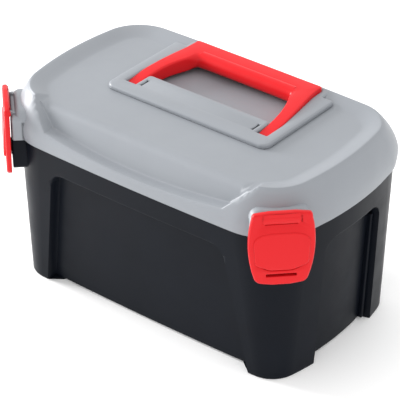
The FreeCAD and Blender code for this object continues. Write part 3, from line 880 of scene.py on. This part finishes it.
def corner_pedestal(side):
    """Rounded block on the lid's corner that carries a latch, with two lugs for its pin."""
    latch = sizes("latch")
    half = latch.pedestal + mm(1)
    low = SEAM + SEAM_GAP
    parts = []
    for name, top, corner, edge, face, back in (
            ("pedestal", mm(1.5), (mm(11), 8), (mm(6), 8), -latch.pedestal_back, mm(24)),
            ("collar", -mm(4), (mm(4), 6), (mm(2.5), 6), latch.boss_out - mm(0.2), mm(20))):
        high = LATCH_PIVOT.z + top
        loop = rounded_box(-half, half, low, high, [mm(1), mm(1), corner[0], corner[0]], corner[1])
        rows = edge_rows(edge[0], face, edge[1]) + [(0, -back)]
        parts.append(moved(skin(name, loop, rows, back=True), STANDING))
    radius = latch.lug_radius
    thick = latch.lug_thick
    height = LATCH_PIVOT.z
    for x0 in (latch.knuckle_half + mm(0.5), -latch.knuckle_half - mm(0.5) - thick):
        parts.append(on_pin(barrel("lug", radius, x0, x0 + thick, mm(0.3))))
        web = [(-latch.pivot_out, height + radius * 0.6), (mm(10), height - mm(6)),
               (mm(10), height - mm(15)), (-latch.pivot_out, height - radius)]
        parts.append(soften(extruded("web", web, x0, x0 + thick), mm(0.3), 2))
    piece = merge("lid_pedestal_" + SIDES[side], parts)
    return moved(piece, to_corner(side))


KNUCKLE_LENGTH = mm(13)


def hinge_knuckle(name, x0, x1, rising):
    """Barrel with the web that ties it to its moulding."""
    radius = (HINGE_HIGH.z - HINGE_LOW.z) / 2 + mm(3)
    tip = HINGE.z + KNUCKLE_LENGTH * (1 if rising else -1)
    inner = HINGE.y - mm(7) if rising else HINGE.y - mm(11)
    part = moved(barrel(name, radius, x0, x1, mm(0.6)), Matrix.Translation((0, HINGE.y, HINGE.z)))
    web = extruded(name + "_web", [(HINGE.y + radius - mm(0.1), HINGE.z), (inner, HINGE.z),
                                   (inner, tip)], x0, x1)
    return [part, soften(web, mm(0.5), 2)]


# ---- tub -----------------------------------------------------------------------------------------
TUB_CORNER_STEPS = 12


def tub_plan(z, inset=0.0):
    """Plan of the tub's outside at a height, drawn in by an inset."""
    shell = sizes("shell")
    tub = sizes("tub")
    share = min(1, z / SEAM)
    half_x = shell.half_length - tub.foot_inset_x + (tub.foot_inset_x - shell.tub_step) * share
    half_y = shell.half_width - tub.foot_inset_y + (tub.foot_inset_y - shell.tub_step) * share
    corner = tub.foot_corner + (shell.corner - shell.tub_step - tub.foot_corner) * share
    return Plan(half_x - inset, half_y - inset, corner - inset, shell)


def panel_half(z, top, foot):
    """Half-width of a pressed-in panel at a height; its upper corners are round."""
    tub = sizes("tub")
    straight = foot + (top - foot) * z / tub.panel_top
    over = z - (tub.panel_top - tub.panel_corner)
    if over <= 0:
        return straight
    over = min(over, tub.panel_corner)
    return straight - tub.panel_corner + math.sqrt(tub.panel_corner ** 2 - over ** 2)


def panel_share(u, z, top, foot):
    """How deep a panel is pressed in at a place, from 0 at its edge to 1 on its floor."""
    tub = sizes("tub")
    lean = (foot - top) / tub.panel_top
    low = tub.panel_top - tub.panel_corner
    straight = foot + (top - foot) * z / tub.panel_top
    inside = (straight - abs(u)) / math.hypot(1, lean)
    if z > low:
        centre = foot + (top - foot) * low / tub.panel_top - tub.panel_corner
        if abs(u) > centre:
            inside = min(inside, tub.panel_corner - math.hypot(abs(u) - centre, z - low))
        inside = min(inside, tub.panel_top - z)
    return float(smoothstep(0, tub.panel_edge, inside))


def panel_places(z, top, foot, low, high, shift=0.0):
    """Columns across a panelled side from low to high, gathered along the panel's edges."""
    edge = panel_half(min(z, sizes("tub").panel_top), top, foot)
    inner = [edge - mm(v) for v in (5, 3.2, 2.4, 1.6, 0.8, 0)]
    places = mirrored([inner[0] * k / 8 for k in range(8)] + inner)
    steps = (0.04, 0.12, 0.3, 0.6, 0.95)
    left = [shift - edge - (shift - edge - low) * step for step in reversed(steps)]
    right = [shift + edge + (high - shift - edge) * step for step in steps]
    return left + [shift + p for p in places] + right


def tub_ring(plan, z):
    """Points of one level of the tub and how far each is pressed in."""
    tub = sizes("tub")
    reach = plan.side_reach()
    sides = panel_places(z, tub.side_panel_top, tub.side_panel_foot, -reach, reach)
    reach = plan.end_reach()
    ends = panel_places(z, tub.end_panel_top, tub.end_panel_foot, -reach, reach, tub.end_panel_shift)
    corner = [0.0] * (TUB_CORNER_STEPS + 1)
    front = [panel_share(x, z, tub.side_panel_top, tub.side_panel_foot) for x in sides]
    end = [panel_share(y - tub.end_panel_shift, z, tub.end_panel_top, tub.end_panel_foot) for y in ends]
    shares = front + corner + end + corner + front[::-1] + corner + end[::-1] + corner
    return ring(plan, sides, ends, TUB_CORNER_STEPS), shares, sides, ends


def tub_shell():
    """The tub with its panels pressed in, its floor, its feet and the lip inside the lid."""
    shell = sizes("shell")
    tub = sizes("tub")
    low = tub.panel_top - tub.panel_corner
    heights = [0, mm(0.5), mm(1.4), tub.foot_lift, mm(5), mm(10)]
    heights += list(np.linspace(mm(20), low - mm(4), 10))
    heights += [low + tub.panel_corner * math.sin(math.pi / 2 * k / 14) for k in range(14)]
    heights += [tub.panel_top - mm(v) for v in (2.4, 1.6, 0.8, 0)]
    heights = sorted(set(round(h, 6) for h in heights))
    heights += [tub.panel_top + mm(v) for v in (1.5, 8, 16, 24)] + [SEAM - mm(0.5)]
    ease = {0: mm(1.0), mm(0.5): mm(0.3)}
    rows = []
    for z in heights:
        points, shares, sides, ends = tub_ring(tub_plan(z, ease.get(z, 0)), z)
        floor = tub_plan(z, tub.panel_depth)
        pressed = ring(floor, sides, ends, TUB_CORNER_STEPS)
        rows.append([(x + (fx - x) * share, y + (fy - y) * share, max(z, tub.foot_lift * share))
                     for (x, y), (fx, fy), share in zip(points, pressed, shares, strict=True)])
    lip_in = shell.wall + mm(0.6) - shell.tub_step
    for inset, z in ((lip_in, SEAM - mm(0.2)), (lip_in, SEAM + tub.tongue - mm(0.4)),
                     (lip_in + mm(0.4), SEAM + tub.tongue)):
        rows.append([(x, y, z) for x, y in ring(tub_plan(SEAM, inset), sides, ends, TUB_CORNER_STEPS)])
    foot = rows[0]
    under = [[(x * s, y * s, tub.foot_lift) for x, y, z in foot] for s in (0.02, 0.85)]
    pad = [(x * 0.9, y * 0.9, z) for x, y, z in foot]
    piece = thicken(lofted("tub_shell", under + [pad] + rows, cap_first=True), shell.wall)
    for vert in piece.data.vertices:
        vert.co.z = max(vert.co.z, 0)
    return piece


def catch_boss(side):
    """Block on the tub's corner with the lip that the latch hooks under."""
    latch = sizes("latch")
    half = latch.pedestal - mm(6)
    low = latch.boss_foot
    high = SEAM - SEAM_GAP
    loop = rounded_box(-half, half, low, high, [mm(5), mm(5), mm(0.8), mm(0.8)], 6)
    face = skin("boss", loop, edge_rows(mm(1.2), latch.boss_out) + [(0, -mm(20))], back=True)
    lip = block("lip", -latch.hook_half, latch.hook_half, -latch.boss_out - mm(1), 0, latch.lip_low,
                latch.lip_high, mm(0.5), 2)
    piece = merge("tub_boss_" + SIDES[side], [moved(face, STANDING), lip])
    return moved(piece, to_corner(side))


def end_rib(name, sign_x, y):
    """Upright stiffening rib on the floor of an end panel."""
    tub = sizes("tub")
    half = tub.rib_half
    verts = []
    for z in (tub.foot_lift, tub.rib_top):
        floor = tub_plan(z, tub.panel_depth + mm(1)).on_end(abs(y), sign_x)[0]
        face = tub_plan(z, tub.panel_depth - tub.rib_rise).on_end(abs(y), sign_x)[0]
        verts += [(floor, y - half, z), (face, y - half, z), (face, y + half, z), (floor, y + half, z)]
    faces = [(3, 2, 1, 0), (4, 5, 6, 7), (0, 1, 5, 4), (1, 2, 6, 5), (2, 3, 7, 6), (3, 0, 4, 7)]
    return soften(outward(new_piece(name, verts, faces)), mm(1), 3)


# ---- handle --------------------------------------------------------------------------------------
def handle_heights(y):
    """Bottom and top of the folded handle at a distance from the front."""
    handle = sizes("handle")
    nose = handle.end_radius
    share = max(0, min(1, (y - HANDLE_PIVOT.y) / (HANDLE_HIGH.y - HANDLE_PIVOT.y)))
    top = HANDLE_PIVOT.z + nose
    top += (HANDLE_HIGH.z - mm(0.2) - top) * (1 - (1 - share) ** 2.4)
    bottom = HANDLE_PIVOT.z - nose
    bottom += (handle.grip_bottom - bottom) * smoothstep(0.05, 0.7, share)
    if y < HANDLE_PIVOT.y:
        rise = math.sqrt(max(0, nose ** 2 - (HANDLE_PIVOT.y - y) ** 2))
        bottom = HANDLE_PIVOT.z - rise
        top = HANDLE_PIVOT.z + rise
    return bottom, top


def handle_section(outer, inner, radii):
    """Section with round edges between a point outside and a point inside the bend."""
    low_out, high_out = handle_heights(outer[1])
    low_in, high_in = handle_heights(inner[1])
    width = math.dist(outer, inner)
    loop = round_corners([(0, low_out), (width, low_in), (width, high_in), (0, high_out)], radii, 5)
    return [(outer[0] + (inner[0] - outer[0]) * p.x / width,
             outer[1] + (inner[1] - outer[1]) * p.x / width, p.y) for p in loop]


def handle_body():
    """Both arms and the grip in one sweep, from the right arm's end round to the left one's."""
    handle = sizes("handle")
    nose = handle.end_radius
    rear = HANDLE_HIGH.y
    corner = handle_outside(rear)
    inside = handle.half_rear - handle.arm_rear
    front = handle.grip_front - mm(1)
    start = 0.15
    along = [HANDLE_PIVOT.y - nose * math.cos(math.pi / 2 * (k + start) / (6 + start)) for k in range(7)]
    along += list(np.linspace(HANDLE_PIVOT.y + mm(6), handle.grip_front - mm(10), 16))
    half = [((handle_outside(y), y), (handle_inside(y), y)) for y in along]
    for y_out, y_in in ((rear - mm(20), front - mm(7)), (rear - mm(8), front - mm(3))):
        half.append(((handle_outside(y_out), y_out), (handle_inside(y_in), y_in)))
    half += [((handle_outside(rear - mm(2.5)), rear - mm(2.5)), (inside + mm(0.6), front - mm(1))),
             ((corner - mm(0.7), rear - mm(0.7)), (inside - mm(0.4), front - mm(0.4))),
             ((corner - mm(2.7), rear - mm(0.05)), (inside - mm(1.6), front - mm(0.1))),
             ((corner - mm(9), rear), (inside - mm(6), front))]
    for x in np.linspace(inside - mm(14), mm(6), 6):
        half.append(((x * 1.18, rear), (x, front)))
    path = half + [((-o[0], o[1]), (-i[0], i[1])) for o, i in reversed(half)]
    rows = []
    for outer, inner in path:
        low, high = handle_heights(outer[1])
        room = (high - low) / 2
        on_grip = float(smoothstep(handle.grip_front - mm(12), handle.grip_front, inner[1]))
        front_roll = mm(2.4) + mm(5.4) * on_grip
        radii = [min(r, room * 0.9) for r in (mm(2), front_roll, front_roll, mm(1.6))]
        rows.append(handle_section(outer, inner, radii))
    frame_bar = outward(lofted("handle_body", rows, cap_first=True, cap_last=True))
    reach = inside + mm(1.5)
    roll = barrel("grip_roll", handle.roll, -reach, reach, mm(1.2), 56)
    place = Matrix.Translation((0, handle.grip_front + mm(7.4), HANDLE_HIGH.z - handle.roll + mm(0.1)))
    return creased(merge("handle_body", [frame_bar, moved(roll, place)]), 38)


# ---- latches -------------------------------------------------------------------------------------
PAD_FOOT = LATCH_LOW.z + mm(25)
PAD_HEAD = LATCH_LOW.z + mm(59)
LUG_ROOM = mm(4)     # width of the pockets that the lugs stand in


def latch_outline():
    """Barrel-shaped outline, widest above the middle, with a bellied foot and crown."""
    latch = sizes("latch")
    low = LATCH_LOW.z
    high = LATCH_HIGH.z
    low_half = latch.foot_width / 2
    mid_half = latch.width / 2
    top_half = mid_half - mm(4)
    control = 2 * mid_half - (low_half + top_half) / 2
    flank = []
    for k in [0] + list(range(2, 11)) + [12]:   # the round corners need the room beside the ends
        t = k / 12
        x = low_half * (1 - t) ** 2 + 2 * control * t * (1 - t) + top_half * t * t
        flank.append((x, low + mm(2.6) + (high - low - mm(4.4)) * t))
    belly = [(-low_half * 0.35, low + mm(0.1)), (low_half * 0.35, low + mm(0.1))]
    crown = [(top_half * 0.45, high), (-top_half * 0.45, high)]
    points = flank + crown + [(-x, z) for x, z in reversed(flank)] + belly
    flank_radii = [mm(9)] + [0] * (len(flank) - 2) + [mm(3.4)]
    radii = flank_radii + [mm(12)] * 2 + flank_radii[::-1] + [mm(14)] * 2
    return round_corners(points, radii, 7)


def thumb_pad(front):
    """Raised pad that stands out towards its smiling lower edge."""
    latch = sizes("latch")
    half = latch.pad / 2
    bend = half * 0.4
    loop = round_corners([(-half + mm(2.5), PAD_FOOT), (-bend, PAD_FOOT - mm(6.5)),
                          (bend, PAD_FOOT - mm(6.5)), (half - mm(2.5), PAD_FOOT), (half, PAD_HEAD - mm(2)),
                          (bend, PAD_HEAD + mm(1)), (-bend, PAD_HEAD + mm(1)), (-half, PAD_HEAD - mm(2))],
                         [mm(r) for r in (6, 16, 16, 6, 11, 16, 16, 11)], 8)
    rows = edge_rows(mm(1.8), front + mm(1.2), 6) + [(mm(0.3), front - mm(0.6))]
    pad = skin("pad", loop, rows, back=True)
    for vert in pad.data.vertices:
        if vert.co.z > front - mm(0.3):
            vert.co.z += mm(1.2) * float(smoothstep(PAD_HEAD, PAD_FOOT, vert.co.y))
    return moved(pad, STANDING)


def latch_plate():
    """Cap with a round border; slits beside the knuckle, a channel over it, a slot under the pad."""
    latch = sizes("latch")
    low = LATCH_LOW.z
    pivot = LATCH_PIVOT.z
    front = latch.stand_off
    back = latch.stand_off - latch.thickness
    half = latch.knuckle_half
    top = pivot + mm(4.9)
    slot = rounded_box(-latch.slot / 2, latch.slot / 2, low + mm(10), low + mm(13.2), mm(0.8), 4)
    holes = [(slot, edge_rows(mm(0.5), front, 3, sign=1) + [(0, back)], False)]
    channel = rounded_box(-half + mm(0.6), half - mm(0.6), pivot + mm(0.9), top, mm(0.5), 2)
    holes.append((channel, edge_rows(mm(0.6), front, 3, sign=1) + [(0, front - mm(3.2))], True))
    for x0 in (half + mm(0.2), -half - mm(1.3)):
        slit = rounded_box(x0, x0 + mm(1.1), pivot - mm(4.5), top, mm(0.4), 2)
        holes.append((slit, [(mm(0.2), front), (0, front - mm(0.3)), (0, back)], False))
    groove = rounded_box(-half + mm(1), half - mm(3), pivot - mm(6.6), pivot - mm(5.7), mm(0.3), 2)
    holes.append((groove, [(mm(0.2), front), (0, front - mm(0.3)), (0, front - mm(1.2))], True))
    end = latch.pad / 2
    level = PAD_FOOT + mm(1)
    smile = round_corners([(-end + mm(2), level), (-end * 0.45, PAD_FOOT - mm(8.4)),
                           (end * 0.45, PAD_FOOT - mm(8.4)), (end - mm(2), level),
                           (end - mm(5.5), level), (end * 0.4, PAD_FOOT - mm(5)),
                           (-end * 0.4, PAD_FOOT - mm(5)), (-end + mm(5.5), level)],
                          [mm(r) for r in (1, 18, 18, 1, 1, 16, 16, 1)], 6)
    holes.append((smile, [(mm(0.3), front), (0, front - mm(0.4)), (0, front - mm(2.6))], True))
    rows = edge_rows(mm(2.4), front, 6) + [(0, back + mm(0.6)), (-mm(0.5), back)]
    plate = moved(skin("plate", latch_outline(), rows, holes, back=True), STANDING)
    room = mm(2.7)
    for x0 in (half, -half - LUG_ROOM):
        carve(plate, on_pin(barrel("bore", room, x0, x0 + LUG_ROOM, mm(0.1))))
        carve(plate, block("rear", x0, x0 + LUG_ROOM, -latch.pivot_out, mm(8), pivot - mm(6.6),
                           pivot + mm(3), 0))
    return plate


def latch_ends():
    """Round ends of the latch beside the lugs, turned about the pin."""
    latch = sizes("latch")
    parts = []
    for side in (1, -1):
        inside = latch.knuckle_half + LUG_ROOM + mm(0.3)
        start, stop = sorted((side * inside, side * (latch.width / 2 - mm(3.4))))
        parts.append(on_pin(barrel("end", latch.knuckle, start, stop, mm(0.8))))
    return parts


def latch_body(side):
    """Plate with its knuckle, thumb pad, round ends and hook."""
    latch = sizes("latch")
    front = latch.stand_off
    roll = on_pin(barrel("knuckle", latch.knuckle, -latch.knuckle_half, latch.knuckle_half, mm(0.5)))
    hook = block("hook", -latch.hook_half, latch.hook_half, -front + mm(1), -latch.boss_out - mm(1.4),
                 latch.hook_low, latch.hook_high, mm(0.5), 2)
    piece = merge("latch_body_" + SIDES[side],
                  [latch_plate(), thumb_pad(front), roll, hook] + latch_ends())
    return moved(creased(piece, 35), to_corner(side))


# ---- operators -----------------------------------------------------------------------------------
class TOOLBOX_OT_lid(bpy.types.Operator):
    """Build the lid's shell, island, corner pedestals and hinge knuckles"""
    bl_idname = "toolbox.lid"
    bl_label = "Lid"

    def execute(self, context):
        shell = thicken(lid_shell(), context.scene.toolbox_shell.wall)
        shell = creased(carve(shell, pan_cutter()), 35)
        install(shell, "lid", "lid", finish("lid"), "lid")
        install(lid_island(), "lid", "lid", finish("lid"))
        for side in (1, -1):
            install(corner_pedestal(side), "lid", "lid", finish("lid"))
        middle = (HINGE_LOW.x + HINGE_HIGH.x) / 2
        parts = []
        for x in (-middle, middle):
            half = KNUCKLE_LENGTH / 2
            parts += hinge_knuckle("lid_knuckle", x - half, x + half, True)
        install(merge("lid_hinge_knuckles", parts), "lid", "lid", finish("lid"))
        return {"FINISHED"}


class TOOLBOX_OT_tub(bpy.types.Operator):
    """Build the tub with its pressed-in panels, ribs, catch bosses and hinge knuckles"""
    bl_idname = "toolbox.tub"
    bl_label = "Tub"

    def execute(self, context):
        install(creased(tub_shell(), 40), "tub", "tub", finish("tub"), "tub")
        for side in (1, -1):
            install(catch_boss(side), "tub", "tub", finish("tub"))
        tub = context.scene.toolbox_tub
        ribs = [end_rib("rib", sign_x, tub.end_panel_shift + sign_y * tub.rib_out)
                for sign_x in (-1, 1) for sign_y in (-1, 1)]
        install(merge("tub_end_ribs", ribs), "tub", "tub", finish("tub"))
        parts = []
        for low in (HINGE_LOW.x, HINGE_HIGH.x - KNUCKLE_LENGTH):
            high = low + KNUCKLE_LENGTH
            parts += hinge_knuckle("tub_knuckle", low, high, False)
            parts += hinge_knuckle("tub_knuckle", -high, -low, False)
        install(merge("tub_hinge_knuckles", parts), "tub", "tub", finish("tub"))
        return {"FINISHED"}


class TOOLBOX_OT_handle(bpy.types.Operator):
    """Build the folding carry handle"""
    bl_idname = "toolbox.handle"
    bl_label = "Carry handle"

    def execute(self, context):
        install(handle_body(), "carry_handle", "red", finish("red"), "carry_handle")
        return {"FINISHED"}


class TOOLBOX_OT_latches(bpy.types.Operator):
    """Build the two corner latches"""
    bl_idname = "toolbox.latches"
    bl_label = "Latches"

    def execute(self, context):
        for side in (1, -1):
            name = "latch_" + SIDES[side]
            install(latch_body(side), name, "red", finish("red"), name)
        return {"FINISHED"}


class TOOLBOX_OT_fittings(bpy.types.Operator):
    """Finish the tray, its bail and dividers and the metal pins"""
    bl_idname = "toolbox.fittings"
    bl_label = "Tray and pins"

    def execute(self, context):
        for name, node in frame["nodes"].items():
            if node.hide_render:
                continue
            kind = "steel" if "pin" in name else "divider" if "divider" in name else "tray"
            kind = "red" if name == "tray_bail" else kind
            node.data.materials.clear()
            node.data.materials.append(finish(kind))
        return {"FINISHED"}


FLOOR_HALF = 6.0
FLOOR_GLOW = 0.12
WORLD_STRENGTH = 1.15
LAMPS = (("key", (-2.64, -0.55, 0.86), 0.9, 98), ("top", (-0.4, 0.4, 2.6), 1.6, 6))   # place, size, power
CAMERA_AZIMUTH = math.radians(38.54)
CAMERA_ELEVATION = math.radians(32.24)
CAMERA_TARGET = Vector((mm(-6.2), 0, mm(101.8)))
CAMERA_DISTANCE = 2.3787
CAMERA_LENS = 204.7


class TOOLBOX_OT_stage(bpy.types.Operator):
    """Set up the floor, the soft light and the camera"""
    bl_idname = "toolbox.stage"
    bl_label = "Stage"

    def execute(self, context):
        scene = context.scene
        half = FLOOR_HALF
        corners = [(-half, -half, 0), (half, -half, 0), (half, half, 0), (-half, half, 0)]
        floor = new_piece("studio_floor", corners, [(0, 1, 2, 3)])
        material, tree, shader = tree_of("studio floor")
        patches = noise(tree, 3, 2)
        base = scene.toolbox_colours.floor
        blended(tree, patches.outputs["Fac"], [c * 0.99 for c in base], base, shader)
        shader.inputs["Roughness"].default_value = 0.9
        shader.inputs["Emission Color"].default_value = (1, 1, 1, 1)
        shader.inputs["Emission Strength"].default_value = FLOOR_GLOW
        floor.data.materials.append(material)

        world = bpy.data.worlds.new("soft studio")
        world.use_nodes = True
        sky = world.node_tree.nodes["Background"]
        sky.inputs["Color"].default_value = (1, 1, 1, 1)
        sky.inputs["Strength"].default_value = WORLD_STRENGTH
        scene.world = world
        scene.view_settings.view_transform = "Standard"
        middle = Vector((0, 0, RIM / 2))
        for name, place, width, power in LAMPS:
            light = bpy.data.lights.new(name, "AREA")
            light.size = width
            light.energy = power
            lamp = bpy.data.objects.new(name, light)
            lamp.location = place
            lamp.rotation_euler = (middle - Vector(place)).to_track_quat("-Z", "Y").to_euler()
            scene.collection.objects.link(lamp)

        level = math.cos(CAMERA_ELEVATION)
        back = Vector((math.sin(CAMERA_AZIMUTH) * level, -math.cos(CAMERA_AZIMUTH) * level,
                       math.sin(CAMERA_ELEVATION)))
        view = bpy.data.cameras.new("camera")
        view.lens = CAMERA_LENS
        camera = bpy.data.objects.new("camera", view)
        camera.location = CAMERA_TARGET + back * CAMERA_DISTANCE
        camera.rotation_euler = back.to_track_quat("Z", "Y").to_euler()
        scene.collection.objects.link(camera)
        scene.camera = camera
        return {"FINISHED"}


class TOOLBOX_PT_panel(bpy.types.Panel):
    """Sizes, colours and build steps of the toolbox"""
    bl_idname = "TOOLBOX_PT_panel"
    bl_label = "Toolbox"
    bl_space_type = "VIEW_3D"
    bl_region_type = "UI"
    bl_category = "Toolbox"

    def draw(self, context):
        layout = self.layout
        for step in STEPS:
            layout.operator(step.bl_idname)
        for title, place in GROUPS.items():
            group = getattr(context.scene, place)
            box = layout.box()
            box.label(text=title)
            for name in group.bl_rna.properties.keys():
                if name not in ("rna_type", "name"):
                    box.prop(group, name)


STEPS = (TOOLBOX_OT_lid, TOOLBOX_OT_tub, TOOLBOX_OT_handle, TOOLBOX_OT_latches, TOOLBOX_OT_fittings,
         TOOLBOX_OT_stage)
GROUPS = {"Shell": "toolbox_shell", "Tub": "toolbox_tub", "Lid": "toolbox_lid", "Handle": "toolbox_handle",
          "Latches": "toolbox_latch", "Colours": "toolbox_colours"}
SETTINGS = {"toolbox_shell": ShellSizes, "toolbox_tub": TubSizes, "toolbox_lid": LidSizes,
            "toolbox_handle": HandleSizes, "toolbox_latch": LatchSizes, "toolbox_colours": Colours}


def register():
    for settings in SETTINGS.values():
        bpy.utils.register_class(settings)
    for place, settings in SETTINGS.items():
        setattr(bpy.types.Scene, place, bpy.props.PointerProperty(type=settings))
    for step in STEPS:
        bpy.utils.register_class(step)
    bpy.utils.register_class(TOOLBOX_PT_panel)


def unregister():
    bpy.utils.unregister_class(TOOLBOX_PT_panel)
    for step in reversed(STEPS):
        bpy.utils.unregister_class(step)
    for place in SETTINGS:
        delattr(bpy.types.Scene, place)
    for settings in SETTINGS.values():
        bpy.utils.unregister_class(settings)


def main():
    register()
    bpy.ops.toolbox.lid()
    bpy.ops.toolbox.tub()
    bpy.ops.toolbox.handle()
    bpy.ops.toolbox.latches()
    bpy.ops.toolbox.fittings()
    bpy.ops.toolbox.stage()


if __name__ == "__main__":
    main()
